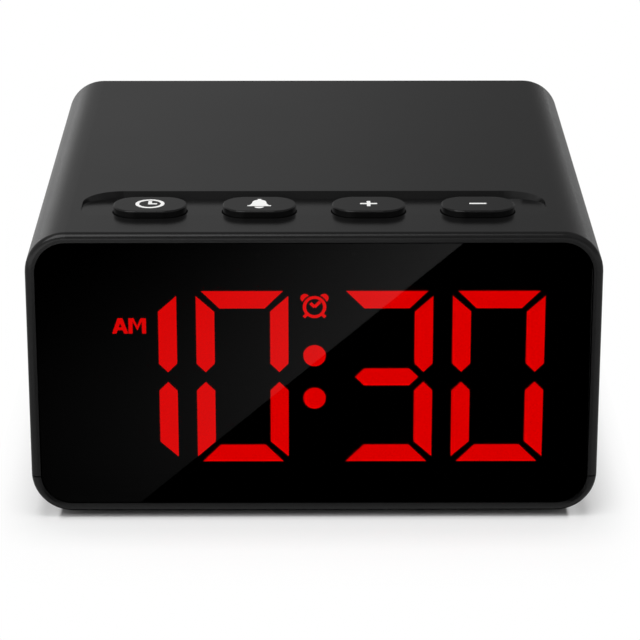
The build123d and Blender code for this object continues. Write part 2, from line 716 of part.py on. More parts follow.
# Black film in front of the display, with a window for each segment and mark
DISPLAY_LOW = BOARD_LOW + BOARD_BORDER
DISPLAY_HIGH = BOARD_HIGH - BOARD_BORDER
DISPLAY_INSET = WALL + RIB_HEIGHT + REFLECTOR_MARGIN
with BuildPart() as display_mask:
    extrude(inner_band(MASK_FRONT, DISPLAY_INSET, DISPLAY_LOW, DISPLAY_HIGH), amount=-MASK)
    for cell_x, lit, unlit in CELLS.values():
        extrude(segment_faces(cell_x, lit + unlit, SLOT_FIT), amount=-MASK, mode=Mode.SUBTRACT)
    extrude(dot_faces(SLOT_FIT), amount=-MASK, mode=Mode.SUBTRACT)
    extrude(am_faces(SLOT_FIT), amount=-MASK, mode=Mode.SUBTRACT)
    extrude(alarm_faces(SLOT_FIT), amount=-MASK, mode=Mode.SUBTRACT)
write(display_mask, "display_mask")

# Reflector block: a cell through it for each segment, dot and mark, and stakes into the board
STAKES = [
    (side * (WIDTH / 2 - DISPLAY_INSET - BOARD_BORDER - STAKE_RADIUS), z)
    for side in (-1, 1)
    for z in (DISPLAY_LOW + CORNER_RADIUS, DISPLAY_HIGH - CORNER_RADIUS)
]
with BuildPart() as display_reflector:
    extrude(
        inner_band(REFLECTOR_FRONT, DISPLAY_INSET, DISPLAY_LOW, DISPLAY_HIGH),
        amount=-REFLECTOR,
    )
    for cell_x, lit, unlit in CELLS.values():
        extrude(
            segment_faces(cell_x, lit + unlit, SLOT_FIT),
            amount=-MASK - REFLECTOR,
            mode=Mode.SUBTRACT,
        )
    extrude(dot_faces(SLOT_FIT), amount=-MASK - REFLECTOR, mode=Mode.SUBTRACT)
    with BuildSketch(plane_at(REFLECTOR_FRONT)):
        with Locations(AM_SPOT):
            Rectangle(AM_BLOCK[0] + 2 * SLOT_FIT, AM_BLOCK[1] + 2 * SLOT_FIT)
        with Locations(ALARM_SPOT):
            Rectangle(ALARM_BLOCK + 2 * SLOT_FIT, ALARM_BLOCK + 2 * SLOT_FIT)
    extrude(amount=-REFLECTOR, mode=Mode.SUBTRACT)
    with BuildSketch(plane_at(BOARD_FRONT - ROOT)):
        with Locations(*STAKES):
            Circle(STAKE_RADIUS)
    extrude(amount=-ROOT - BOARD - STAKE_RADIUS)
write(display_reflector, "display_reflector")

# Lit segments, one piece for each digit
for cell_name, (cell_x, lit, unlit) in CELLS.items():
    with BuildPart() as segments:
        extrude(segment_faces(cell_x, lit), amount=-LIGHT_GUIDE)
    write(segments, f"{cell_name}_segments")

# Segments that the time shown leaves dark
with BuildPart() as unlit_segments:
    for cell_x, lit, unlit in CELLS.values():
        if unlit:
            extrude(segment_faces(cell_x, unlit), amount=-LIGHT_GUIDE)
write(unlit_segments, "unlit_segments")

# Colon
with BuildPart() as colon_dots:
    extrude(dot_faces(), amount=-LIGHT_GUIDE)
write(colon_dots, "colon_dots")

# Morning mark and alarm mark: a light guide whose raised front shows through the film
with BuildPart() as am_mark:
    extrude(am_faces(), amount=-MASK)
    mark_block(AM_SPOT, AM_BLOCK, LIGHT_GUIDE, REFLECTOR_FRONT)
write(am_mark, "am_mark")
with BuildPart() as alarm_mark:
    extrude(alarm_faces(), amount=-MASK)
    mark_block(ALARM_SPOT, (ALARM_BLOCK, ALARM_BLOCK), LIGHT_GUIDE, REFLECTOR_FRONT)
write(alarm_mark, "alarm_mark")

# Display board, its edges in the slots of both shells
with BuildPart() as display_board:
    extrude(inner_band(BOARD_FRONT, WALL + EDGE_FIT, BOARD_LOW, BOARD_HIGH), amount=-BOARD)
    with BuildSketch(plane_at(BOARD_FRONT)):
        with Locations(*STAKES):
            Circle(STAKE_RADIUS + SLOT_FIT)
        with Locations(*[(x, KEY_BOARD_UNDER - PIN / 2) for x in PIN_XS]):
            Rectangle(PIN + 2 * SLOT_FIT, PIN + 2 * SLOT_FIT)
    extrude(amount=-BOARD, mode=Mode.SUBTRACT)
write(display_board, "display_board")

# Light-emitting chips on the display board, one behind each segment, dot and mark
CHIP_SPOTS = [*DOTS, AM_SPOT, ALARM_SPOT]
for cell_x, lit, unlit in CELLS.values():
    for letter in lit + unlit:
        corners = segment_outline(letter)
        mean_x = sum(x for x, z in corners) / len(corners)
        mean_z = sum(z for x, z in corners) / len(corners)
        CHIP_SPOTS.append((cell_x + mean_x, DIGIT_Z + mean_z))
with BuildPart() as led_chips:
    with Locations(*[(x, BOARD_FRONT, z) for x, z in CHIP_SPOTS]):
        Box(*CHIP, align=(Align.CENTER, Align.MAX, Align.CENTER))
write(led_chips, "led_chips")

# Driver chip on the back of the display board
with BuildPart() as display_driver:
    with Locations((DRIVER_X, BOARD_BACK, DIGIT_Z)):
        Box(*DRIVER, align=(Align.CENTER, Align.MIN, Align.CENTER))
    fillet(display_driver.edges().filter_by(Axis.Y), SLIDE_FIT)
write(display_driver, "display_driver")

# Key board under the buttons, screwed to two posts of the upper housing
with BuildPart() as key_board:
    with BuildSketch(Plane.XY.offset(KEY_BOARD_UNDER)):
        with Locations((0, (KEY_BOARD_FRONT + KEY_BOARD_BACK) / 2)):
            Rectangle(2 * (KEY_POST_X + KEY_POST_RADIUS), KEY_BOARD_DEPTH)
        with Locations(*KEY_POSTS):
            Circle(SMALL_SCREW_RADIUS + SEAT_FIT, mode=Mode.SUBTRACT)
    extrude(amount=BOARD)
write(key_board, "key_board")

# Pins that join the key board to the display board
with BuildPart() as key_pins:
    pin_start = BOARD_FRONT + SLIDE_FIT
    with Locations(*[(x, pin_start, KEY_BOARD_UNDER) for x in PIN_XS]):
        Box(
            PIN,
            KEY_BOARD_FRONT + PIN_REACH - pin_start,
            PIN,
            align=(Align.CENTER, Align.MIN, Align.MAX),
        )
write(key_pins, "key_pins")

# Switch bodies on the key board, one under each button
with BuildPart() as switch_bodies:
    with Locations(*[(x, BUTTON_Y, KEY_BOARD_TOP) for x in BUTTON_XS]):
        Box(SWITCH, SWITCH, SWITCH_HEIGHT, align=(Align.CENTER, Align.CENTER, Align.MIN))
    with Locations(*[(x, BUTTON_Y, SWITCH_TOP) for x in BUTTON_XS]):
        Cylinder(
            STEM_RADIUS + SLOT_FIT,
            STEM_SINK + BUTTON_TRAVEL + SLOT_FIT,
            align=(Align.CENTER, Align.CENTER, Align.MAX),
            mode=Mode.SUBTRACT,
        )
write(switch_bodies, "switch_bodies")

# Button caps and the switch stems that move with them
for name, x in zip(BUTTON_NAMES, BUTTON_XS):
    with BuildPart() as button:
        with BuildSketch(Plane.XY.offset(PAD_UNDER)):
            with Locations((x, BUTTON_Y)):
                RectangleRounded(BUTTON_LENGTH, BUTTON_DEPTH, BUTTON_CORNER)
        extrude(amount=BUTTON_TOP - PAD_UNDER)
        fillet(button.faces().sort_by(Axis.Z)[-1].edges(), BUTTON_EDGE)
        with BuildSketch(Plane.XY.offset(FLANGE_UNDER)):
            with Locations((x, BUTTON_Y)):
                RectangleRounded(
                    BUTTON_LENGTH + 2 * FLANGE_RIM,
                    BUTTON_DEPTH + 2 * FLANGE_RIM,
                    BUTTON_CORNER + FLANGE_RIM,
                )
        extrude(amount=FLANGE)
        with BuildSketch(Plane.XY.offset(FLANGE_UNDER)):
            with Locations((x, BUTTON_Y)):
                RectangleRounded(
                    BUTTON_LENGTH - 2 * BUTTON_WALL,
                    BUTTON_DEPTH - 2 * BUTTON_WALL,
                    BUTTON_CORNER - BUTTON_WALL,
                )
        extrude(amount=BUTTON_TOP - BUTTON_WALL - FLANGE_UNDER, mode=Mode.SUBTRACT)
        with BuildSketch(Plane.XY.offset(STEM_TOP)):
            with Locations((x, BUTTON_Y)):
                Circle(PLUNGER_RADIUS)
        extrude(amount=BUTTON_TOP - BUTTON_WALL + ROOT - STEM_TOP)
    write(button, f"{name}_button")
    with BuildPart() as stem:
        with Locations((x, BUTTON_Y, STEM_TOP)):
            Cylinder(
                STEM_RADIUS,
                STEM_RISE + STEM_SINK,
                align=(Align.CENTER, Align.CENTER, Align.MAX),
            )
    write(stem, f"{name}_switch_stem")

# Main board on the roof of the battery bay
with BuildPart() as main_board:
    with BuildSketch(Plane.XY.offset(MAIN_UNDER)):
        with Locations((0, (MAIN_FRONT + MAIN_BACK) / 2)):
            Rectangle(2 * (BAY_X + BAY_WALL), MAIN_BACK - MAIN_FRONT)
        with Locations(*STANDOFFS):
            Circle(SMALL_SCREW_RADIUS + SEAT_FIT, mode=Mode.SUBTRACT)
        with Locations(*[(side * (BAY_X - CONTACT / 2), y) for side, y in TERMINALS]):
            Rectangle(CONTACT + 2 * SEAT_FIT, TAB_WIDTH + 2 * SEAT_FIT, mode=Mode.SUBTRACT)
    extrude(amount=BOARD)
write(main_board, "main_board")

# Parts on the main board
with BuildPart() as controller_chip:
    with Locations((CONTROLLER_SPOT[0], MAIN_FRONT + CONTROLLER_SPOT[1], MAIN_TOP)):
        Box(*CONTROLLER, align=(Align.CENTER, Align.CENTER, Align.MIN))
    chamfer(controller_chip.edges().filter_by(Axis.Z), ROOT)
write(controller_chip, "controller_chip")
with BuildPart() as crystal:
    with BuildSketch(Plane.XY.offset(MAIN_TOP)):
        with Locations((CRYSTAL_SPOT[0], MAIN_FRONT + CRYSTAL_SPOT[1])):
            SlotOverall(CRYSTAL[0], CRYSTAL[1])
    extrude(amount=CRYSTAL[2])
    fillet(crystal.faces().sort_by(Axis.Z)[-1].edges(), ROOT)
write(crystal, "crystal")
with BuildPart() as capacitor:
    with Locations((CAN_SPOT[0], MAIN_FRONT + CAN_SPOT[1], MAIN_TOP)):
        Cylinder(CAN_RADIUS, CAN_HEIGHT, align=(Align.CENTER, Align.CENTER, Align.MIN))
    fillet(capacitor.faces().sort_by(Axis.Z)[-1].edges(), ROOT)
write(capacitor, "capacitor")
with BuildPart() as buzzer:
    with Locations((SIDE_X, MAIN_BACK - BUZZER_SETBACK, MAIN_TOP)):
        Cylinder(BUZZER_RADIUS, BUZZER_HEIGHT, align=(Align.CENTER, Align.CENTER, Align.MIN))
    with Locations((SIDE_X, MAIN_BACK - BUZZER_SETBACK, MAIN_TOP + BUZZER_HEIGHT)):
        Cylinder(
            BUZZER_PORT,
            BUZZER_HEIGHT / 2,
            align=(Align.CENTER, Align.CENTER, Align.MAX),
            mode=Mode.SUBTRACT,
        )
write(buzzer, "buzzer")

# Power inlet: a metal shell open to the back, and the contact tongue inside it
SOCKET_MOUTH = PANEL_BACK - SOCKET_INSET
with BuildPart() as power_socket:
    with BuildSketch(plane_at(SOCKET_MOUTH)):
        with Locations((-SIDE_X, SOCKET_Z)):
            RectangleRounded(SOCKET_WIDTH, SOCKET_HEIGHT, SOCKET_CORNER)
    extrude(amount=SOCKET_DEPTH)
    with BuildSketch(plane_at(SOCKET_MOUTH)):
        with Locations((-SIDE_X, SOCKET_Z)):
            RectangleRounded(
                SOCKET_WIDTH - 2 * SOCKET_SHELL,
                SOCKET_HEIGHT - 2 * SOCKET_SHELL,
                SOCKET_CORNER - SOCKET_SHELL,
            )
    extrude(amount=SOCKET_DEPTH - SOCKET_BACK, mode=Mode.SUBTRACT)
write(power_socket, "power_socket")
with BuildPart() as socket_tongue:
    with Locations((-SIDE_X, SOCKET_MOUTH - SOCKET_DEPTH + SOCKET_BACK, SOCKET_Z)):
        Box(
            TONGUE_PLATE[0],
            SOCKET_DEPTH - 2 * SOCKET_BACK,
            TONGUE_PLATE[1],
            align=(Align.CENTER, Align.MIN, Align.CENTER),
        )
write(socket_tongue, "socket_tongue")

# Ribbon cable from the main board to the display board, and its two connectors
CONNECTOR_FRONT = MAIN_FRONT + CONNECTOR_INSET
with BuildPart() as cable_connectors:
    with Locations((0, CONNECTOR_FRONT, CONNECTOR_Z)):
        Box(
            CONNECTOR_WIDTH,
            CONNECTOR_DEPTH,
            CONNECTOR_HEIGHT,
            align=(Align.CENTER, Align.MIN, Align.CENTER),
        )
    with Locations((0, BOARD_BACK, CONNECTOR_Z)):
        Box(
            CONNECTOR_WIDTH,
            CONNECTOR_DEPTH,
            CONNECTOR_HEIGHT,
            align=(Align.CENTER, Align.MIN, Align.CENTER),
        )
write(cable_connectors, "cable_connectors")

# The ribbon sags between the connectors, in bends as large as its runs allow
ribbon_start = BOARD_BACK + CONNECTOR_DEPTH
ribbon_middle = (ribbon_start + CONNECTOR_FRONT) / 2
sag_run = ribbon_middle - ribbon_start - RIBBON_LEAD
sag_angle = atan2(RIBBON_DIP, sag_run)
sag_length = sqrt(sag_run**2 + RIBBON_DIP**2)
lead_bend = RIBBON_EASE * min(RIBBON_LEAD, sag_length) / tan(sag_angle / 2)
sag_bend = RIBBON_EASE * sag_length / tan(sag_angle)
with BuildPart() as ribbon_cable:
    with BuildSketch(Plane.YZ):
        with BuildLine():
            FilletPolyline(
                (ribbon_start, CONNECTOR_Z),
                (ribbon_start + RIBBON_LEAD, CONNECTOR_Z),
                (ribbon_middle, CONNECTOR_Z - RIBBON_DIP),
                (CONNECTOR_FRONT - RIBBON_LEAD, CONNECTOR_Z),
                (CONNECTOR_FRONT, CONNECTOR_Z),
                radius=(lead_bend, sag_bend, lead_bend),
            )
        trace(line_width=RIBBON)
    extrude(amount=RIBBON_WIDTH / 2, both=True)
write(ribbon_cable, "ribbon_cable")

# Battery cells, laid across the case with every second one turned round
with BuildPart() as battery_cells:
    for i, cell_y in enumerate(CELL_YS):
        plus = 1 if i % 2 == 0 else -1
        can_x = plus * (BAY_X - CONTACT - TOUCH - NUB_HEIGHT - (CELL_LENGTH - NUB_HEIGHT) / 2)
        nub_x = plus * (BAY_X - CONTACT - TOUCH - NUB_HEIGHT)
        with Locations((can_x, cell_y, CELL_Z)):
            Cylinder(CELL_DIAMETER / 2, CELL_LENGTH - NUB_HEIGHT, rotation=(0, 90, 0))
        with Locations((nub_x, cell_y, CELL_Z)):
            Cylinder(NUB_DIAMETER / 2, 2 * NUB_HEIGHT, rotation=(0, 90, 0))
    rims = battery_cells.edges().filter_by(GeomType.CIRCLE)
    fillet(rims.filter_by(lambda rim: abs(rim.radius - CELL_DIAMETER / 2) < ROOT), CELL_EDGE)
write(battery_cells, "battery_cells")

# Contact plates at both ends of the cells, a leaf at each negative end, and two board tabs
with BuildPart() as battery_contacts:
    groups = {-1: ((0, 0), (1, 2)), 1: ((0, 1), (2, 2))}
    for side, spans in groups.items():
        for first, last in spans:
            low_y = CELL_YS[first] - CONTACT_WIDTH / 2
            high_y = CELL_YS[last] + CONTACT_WIDTH / 2
            with Locations((side * (BAY_X - CONTACT / 2), (low_y + high_y) / 2, CELL_Z)):
                Box(CONTACT, high_y - low_y, CONTACT_WIDTH)
    for side, cell_y in TERMINALS:
        with Locations((side * (BAY_X - CONTACT / 2), cell_y, CELL_Z)):
            Box(
                CONTACT,
                TAB_WIDTH,
                MAIN_TOP + TAB_RISE - CELL_Z,
                align=(Align.CENTER, Align.CENTER, Align.MIN),
            )
    with BuildSketch(Plane.XY.offset(CELL_Z - LEAF_HEIGHT / 2)):
        for i, cell_y in enumerate(CELL_YS):
            minus = -1 if i % 2 == 0 else 1
            root_x = minus * (BAY_X - CONTACT)
            crown_x = root_x - minus * LEAF
            with BuildLine():
                ThreePointArc(
                    (root_x, cell_y - LEAF_SPAN / 2),
                    (crown_x, cell_y),
                    (root_x, cell_y + LEAF_SPAN / 2),
                )
                ThreePointArc(
                    (root_x, cell_y - LEAF_SPAN / 2 + CONTACT),
                    (crown_x + minus * CONTACT, cell_y),
                    (root_x, cell_y + LEAF_SPAN / 2 - CONTACT),
                )
                for end in (-1, 1):
                    Line(
                        (root_x, cell_y + end * LEAF_SPAN / 2),
                        (root_x, cell_y + end * (LEAF_SPAN / 2 - CONTACT)),
                    )
            make_face()
    extrude(amount=LEAF_HEIGHT)
write(battery_contacts, "battery_contacts")

# Battery door: slides out at the back on two side tongues, with a ribbed thumb grip and an arrow
with BuildPart() as battery_door:
    with BuildSketch(Plane.XY.offset(UNDER)):
        with Locations((0, (DOOR_FRONT + DOOR_BACK) / 2)):
            Rectangle(2 * DOOR_X, DOOR_BACK - DOOR_FRONT)
    extrude(amount=DOOR)
    with BuildSketch(Plane.XY.offset(DOOR_TOP - TONGUE_HEIGHT)):
        with Locations((0, (DOOR_FRONT + DOOR_BACK) / 2)):
            Rectangle(2 * (DOOR_X + TONGUE), DOOR_BACK - DOOR_FRONT)
    extrude(amount=TONGUE_HEIGHT)
    with BuildSketch(Plane.XY.offset(UNDER)):
        with Locations((0, DOOR_FRONT + GRIP_INSET)):
            with GridLocations(0, GRIP_PITCH, 1, GRIP_COUNT):
                SlotOverall(GRIP_LENGTH, GRIP_WIDTH)
        with Locations((0, DOOR_FRONT + GRIP_INSET + GRIP_COUNT * GRIP_PITCH / 2 + ARROW_GAP)):
            Polygon((-ARROW / 2, 0), (ARROW / 2, 0), (0, ARROW))
    extrude(amount=GRIP_DEPTH, mode=Mode.SUBTRACT)
write(battery_door, "battery_door")

# Four screws up through the base into the posts of the upper housing
with BuildPart() as case_screws:
    for post in POSTS:
        head_seat = UNDER + SCREW_HEAD + SCREW_RECESS
        screw(
            post,
            head_seat,
            1,
            SCREW_RADIUS,
            POST_FOOT - head_seat + SCREW_BITE,
            SCREW_HEAD_RADIUS,
            SCREW_HEAD,
            CROSS,
        )
write(case_screws, "case_screws")

# Six small screws: four in the main board from above, two in the key board from below
with BuildPart() as board_screws:
    small = (SMALL_SCREW_RADIUS, BOARD + SMALL_BITE, SMALL_HEAD_RADIUS, SMALL_HEAD, SMALL_CROSS)
    for spot in STANDOFFS:
        screw(spot, MAIN_TOP, -1, *small)
    for spot in KEY_POSTS:
        screw(spot, KEY_BOARD_UNDER, 1, *small)
write(board_screws, "board_screws")

# Rubber feet in shallow pockets of the underside
with BuildPart() as rubber_feet:
    with BuildSketch(Plane.XY):
        with Locations(*FEET):
            Circle(FOOT_RADIUS)
    extrude(amount=FOOT_HEIGHT)
    chamfer(rubber_feet.edges().group_by(Axis.Z)[0], FOOT_CHAMFER)
write(rubber_feet, "rubber_feet")
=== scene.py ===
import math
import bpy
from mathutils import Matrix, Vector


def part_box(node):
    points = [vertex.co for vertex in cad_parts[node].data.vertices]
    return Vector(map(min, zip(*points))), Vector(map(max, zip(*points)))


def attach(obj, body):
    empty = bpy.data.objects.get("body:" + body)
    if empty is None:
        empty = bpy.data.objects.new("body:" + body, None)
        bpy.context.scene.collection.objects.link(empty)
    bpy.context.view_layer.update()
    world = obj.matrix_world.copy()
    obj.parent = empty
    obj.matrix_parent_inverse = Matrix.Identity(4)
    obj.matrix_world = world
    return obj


bl_info = {
    "name": "LED desk clock",
    "version": (1, 0, 0),
    "blender": (4, 5, 0),
    "location": "3D View > Sidebar > Desk clock",
    "description": "Finishes, button marks and studio of a digital LED desk clock",
    "category": "Object",
}

import bmesh
import bpy
from bpy.props import FloatProperty, FloatVectorProperty, PointerProperty
from bpy.types import NodeSocket, Operator, Panel, PropertyGroup
from mathutils import Vector

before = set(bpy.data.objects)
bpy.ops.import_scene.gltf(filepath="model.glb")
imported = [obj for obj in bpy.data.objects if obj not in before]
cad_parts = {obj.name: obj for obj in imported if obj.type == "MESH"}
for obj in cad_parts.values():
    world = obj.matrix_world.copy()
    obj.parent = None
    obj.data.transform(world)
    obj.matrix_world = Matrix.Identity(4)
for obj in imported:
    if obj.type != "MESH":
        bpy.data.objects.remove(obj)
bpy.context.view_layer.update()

MM = 0.001
FLOOR_SIZE = 12.0
CARD_SIZE = 4.0
CARD_LIFT = 0.6 * MM
SENSOR = 36.0
NEAREST = 0.01
# Lamps: place, aim and size
FILL_LAMP = ((0.0, -0.05, 1.3), (0.0, -0.05, 0.0), (0.7, 0.7))
KEY_LAMP = ((-0.32, -0.50, 0.85), (-0.02, -0.05, 0.05), (0.65, 0.8))
BUTTONS = ("time", "alarm", "plus", "minus")
SHELLS = ("upper_housing", "base_tray", "rear_panel", "battery_door")
LIT = (
    "hour_tens_segments",
    "hour_units_segments",
    "minute_tens_segments",
    "minute_units_segments",
    "colon_dots",
    "am_mark",
    "alarm_mark",
)


def colour(name, description, default):
    """A colour that a user may change."""
    return FloatVectorProperty(
        name=name, description=description, default=default, subtype="COLOR", min=0.0, max=1.0
    )


def length(name, description, default):
    """A length in metres that a user may change."""
    return FloatProperty(name=name, description=description, default=default, unit="LENGTH", precision=5)


def level(name, description, default):
    """A plain number that a user may change."""
    return FloatProperty(name=name, description=description, default=default, min=0.0)


class ClockFinish(PropertyGroup):
    """Colours and surfaces of the clock."""

    case: colour("Case", "Black of the moulded shells", (0.004, 0.004, 0.0041))
    button: colour("Buttons", "Black of the button caps", (0.0015, 0.0015, 0.0016))
    ink: colour("Ink", "White of the printed button marks", (0.90, 0.90, 0.89))
    smoke: colour("Window smoke", "Tint of the front window", (0.06, 0.055, 0.055))
    lit: colour("Lit segments", "Light of the digits and marks", (1.0, 0.0, 0.0))
    glow: level("Glow", "Strength of the lit segments behind the smoked window", 12.5)
    grain: length("Grain", "Width of one pit of the moulded grain", 0.35 * MM)
    depth: length("Grain depth", "Depth of the moulded grain", 0.006 * MM)


class ClockMarks(PropertyGroup):
    """Sizes of the marks printed on the buttons."""

    sign: length("Sign", "Length of the bars of plus and minus", 2.9 * MM)
    stroke: length("Stroke", "Width of the printed lines", 0.62 * MM)
    ink: length("Ink", "Thickness of the print", 0.02 * MM)
    dial: length("Dial", "Diameter of the dial mark", 4.9 * MM)
    bell: length("Bell", "Height and width of the bell mark", 4.0 * MM)
    clapper: length("Clapper", "Radius of the clapper below the bell", 0.8 * MM)


class ClockStudio(PropertyGroup):
    """Camera, floor and light."""

    eye: FloatVectorProperty(
        name="Eye", description="Place of the camera", default=(-0.00071, -0.5050, 0.1977), unit="LENGTH"
    )
    pitch: FloatProperty(
        name="Pitch",
        description="How far the camera looks down",
        default=math.radians(19.576),
        unit="ROTATION",
    )
    yaw: FloatProperty(
        name="Yaw",
        description="How far the camera looks to the right",
        default=math.radians(0.212),
        unit="ROTATION",
    )
    lens: level("Lens", "Focal length in millimetres", 163.35)
    floor: colour("Floor", "White of the table", (0.94, 0.94, 0.94))
    fill: level("Fill lamp", "Power of the soft lamp above the clock, in watts", 11.0)
    key: level("Key lamp", "Power of the lamp above the front on the left, in watts", 2.5)


def place(tree, kind, inputs=None, **settings):
    """Add a node, set its options, and set or link its inputs."""
    node = tree.nodes.new(kind)
    for key, value in settings.items():
        setattr(node, key, value)
    for key, value in (inputs or {}).items():
        if isinstance(value, NodeSocket):
            tree.links.new(value, node.inputs[key])
        else:
            node.inputs[key].default_value = value
    return node


def math_node(tree, operation, first, second=0.0):
    """The result of one sum."""
    return place(tree, "ShaderNodeMath", {0: first, 1: second}, operation=operation).outputs[0]


def blank(name, **constants):
    """A fresh material, its node tree and its shader, with the shader's plain values set."""
    material = bpy.data.materials.new(name)
    material.use_nodes = True
    shader = material.node_tree.nodes["Principled BSDF"]
    for key, value in constants.items():
        shader.inputs[key.replace("_", " ")].default_value = value
    return material, material.node_tree, shader


def dress(material, *names):
    """Give CAD nodes a material."""
    for name in names:
        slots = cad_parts[name].data.materials
        slots.clear()
        slots.append(material)


def group_tree(name, inputs, outputs):
    """An empty shader group with its named sockets."""
    group = bpy.data.node_groups.new(name, "ShaderNodeTree")
    for label, kind in inputs:
        group.interface.new_socket(name=label, in_out="INPUT", socket_type=kind)
    for label, kind in outputs:
        group.interface.new_socket(name=label, in_out="OUTPUT", socket_type=kind)
    return group, group.nodes.new("NodeGroupInput"), group.nodes.new("NodeGroupOutput")


def grain_group():
    """Moulded plastic: a fine grain of pits, and slow changes of tone and gloss."""
    if "Moulded grain" in bpy.data.node_groups:
        return bpy.data.node_groups["Moulded grain"]
    group, given, result = group_tree(
        "Moulded grain",
        [
            ("Colour", "NodeSocketColor"),
            ("Tone", "NodeSocketFloat"),
            ("Roughness", "NodeSocketFloat"),
            ("Unevenness", "NodeSocketFloat"),
            ("Grain", "NodeSocketFloat"),
        ],
        [
            ("Colour", "NodeSocketColor"),
            ("Roughness", "NodeSocketFloat"),
            ("Height", "NodeSocketFloat"),
        ],
    )
    spot = place(group, "ShaderNodeTexCoord").outputs["Object"]
    pits = math_node(group, "DIVIDE", 1.0, given.outputs["Grain"])
    fine = place(group, "ShaderNodeTexNoise", {"Vector": spot, "Scale": pits, "Detail": 2.0})
    slow = place(group, "ShaderNodeTexNoise", {"Vector": spot, "Scale": 42.0, "Detail": 3.0})
    swing = math_node(group, "SUBTRACT", slow.outputs[0], 0.5)
    tone = math_node(group, "ADD", 1.0, math_node(group, "MULTIPLY", swing, given.outputs["Tone"]))
    gloss = math_node(group, "MULTIPLY", swing, given.outputs["Unevenness"])
    shade = place(
        group, "ShaderNodeVectorMath", {0: given.outputs["Colour"], "Scale": tone}, operation="SCALE"
    )
    links = group.links
    links.new(shade.outputs[0], result.inputs["Colour"])
    links.new(math_node(group, "ADD", given.outputs["Roughness"], gloss), result.inputs["Roughness"])
    links.new(fine.outputs[0], result.inputs["Height"])
    return group


def moulded(name, tint, roughness, grain=0.35 * MM, depth=0.012 * MM, tone=0.25, uneven=0.08, **constants):
    """A plastic or rubber with a moulded grain."""
    material, tree, shader = blank(name, **constants)
    skin = tree.nodes.new("ShaderNodeGroup")
    skin.node_tree = grain_group()
    values = {
        "Colour": (*tint, 1.0),
        "Tone": tone,
        "Roughness": roughness,
        "Unevenness": uneven,
        "Grain": grain,
    }
    for key, value in values.items():
        skin.inputs[key].default_value = value
    bump = place(tree, "ShaderNodeBump", {"Distance": depth, "Height": skin.outputs["Height"]})
    tree.links.new(skin.outputs["Colour"], shader.inputs["Base Color"])
    tree.links.new(skin.outputs["Roughness"], shader.inputs["Roughness"])
    tree.links.new(bump.outputs[0], shader.inputs["Normal"])
    return material


class CLOCK_OT_case(Operator):
    """Finish the moulded shells, the rear panel and the battery door"""

    bl_idname = "clock.case"
    bl_label = "Case"

    def execute(self, context):
        look = context.scene.clock_finish
        plastic = moulded("case_plastic", look.case, 0.2, look.grain, look.depth)
        dress(plastic, *SHELLS)
        return {"FINISHED"}


class CLOCK_OT_buttons(Operator):
    """Finish the button caps and the switch stems below them"""

    bl_idname = "clock.buttons"
    bl_label = "Buttons"

    def execute(self, context):
        look = context.scene.clock_finish
        cap = moulded("button_plastic", look.button, 0.2, look.grain, look.depth / 2)
        stem = moulded("stem_plastic", (0.02, 0.02, 0.02), 0.5)
        dress(cap, *[f"{name}_button" for name in BUTTONS])
        dress(stem, *[f"{name}_switch_stem" for name in BUTTONS])
        return {"FINISHED"}


def start_piece():
    """Leave edit mode and let go of everything that is selected."""
    if bpy.context.object and bpy.context.object.mode != "OBJECT":
        bpy.ops.object.mode_set(mode="OBJECT")
    bpy.ops.object.select_all(action="DESELECT")


def edit(kind):
    """Go into edit mode with nothing selected."""
    bpy.ops.object.mode_set(mode="EDIT")
    bpy.ops.mesh.select_mode(type=kind)
    bpy.ops.mesh.select_all(action="DESELECT")


def pick_faces(test):
    """Select the faces whose normal and middle pass the test."""
    shape = bmesh.from_edit_mesh(bpy.context.object.data)
    for face in shape.faces:
        face.select_set(test(face.normal, face.calc_center_median()))
    bmesh.update_edit_mesh(bpy.context.object.data)


def pick_edges(test):
    """Select the edges whose direction passes the test."""
    shape = bmesh.from_edit_mesh(bpy.context.object.data)
    for edge in shape.edges:
        edge.select_set(test((edge.verts[1].co - edge.verts[0].co).normalized()))
    bmesh.update_edit_mesh(bpy.context.object.data)


def pick_row(height):
    """Select the vertices of one row of a flat grid."""
    shape = bmesh.from_edit_mesh(bpy.context.object.data)
    for corner in shape.verts:
        corner.select_set(abs(corner.co.y - height) < 0.01 * MM)
    bmesh.update_edit_mesh(bpy.context.object.data)


def round_corners(radius):
    """Round the upright edges of a flat print."""
    bpy.ops.mesh.select_mode(type="EDGE")
    pick_edges(lambda way: abs(way.z) > 0.9)
    bpy.ops.mesh.bevel(offset=radius, segments=3)


def cap_middle(name):
    """The middle of a button's top face."""
    low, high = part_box(f"{name}_button")
    return Vector(((low.x + high.x) / 2, (low.y + high.y) / 2, high.z))


def bars(spot, stroke, ink, reaches):
    """A flat bar cross: a small block whose sides are drawn out by the given reaches."""
    start_piece()
    bpy.ops.mesh.primitive_cube_add(size=1.0, location=spot + Vector((0, 0, ink / 2)))
    bpy.context.object.scale = (stroke, stroke, ink)
    bpy.ops.object.transform_apply(location=True, rotation=True, scale=True)
    edit("FACE")
    for way, reach in reaches:
        side = Vector(way)

        def block_end(normal, middle):
            aside = (middle - spot).cross(side).z
            return normal.dot(side) > 0.9 and abs(aside) < 0.01 * MM

        pick_faces(block_end)
        bpy.ops.mesh.extrude_region_move(TRANSFORM_OT_translate={"value": side * reach})
    return bpy.context.object


def printed(name, piece, body, material):
    """Finish a printed mark and let it move with its button."""
    start_piece()
    piece.select_set(True)
    bpy.context.view_layer.objects.active = piece
    bpy.ops.object.transform_apply(location=True, rotation=True, scale=True)
    piece.name = name
    piece.data.name = name
    piece.data.materials.clear()
    piece.data.materials.append(material)
    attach(piece, body)


def join(pieces):
    """Make one piece of several."""
    start_piece()
    for piece in pieces:
        piece.select_set(True)
    bpy.context.view_layer.objects.active = pieces[0]
    bpy.ops.object.join()
    return bpy.context.object


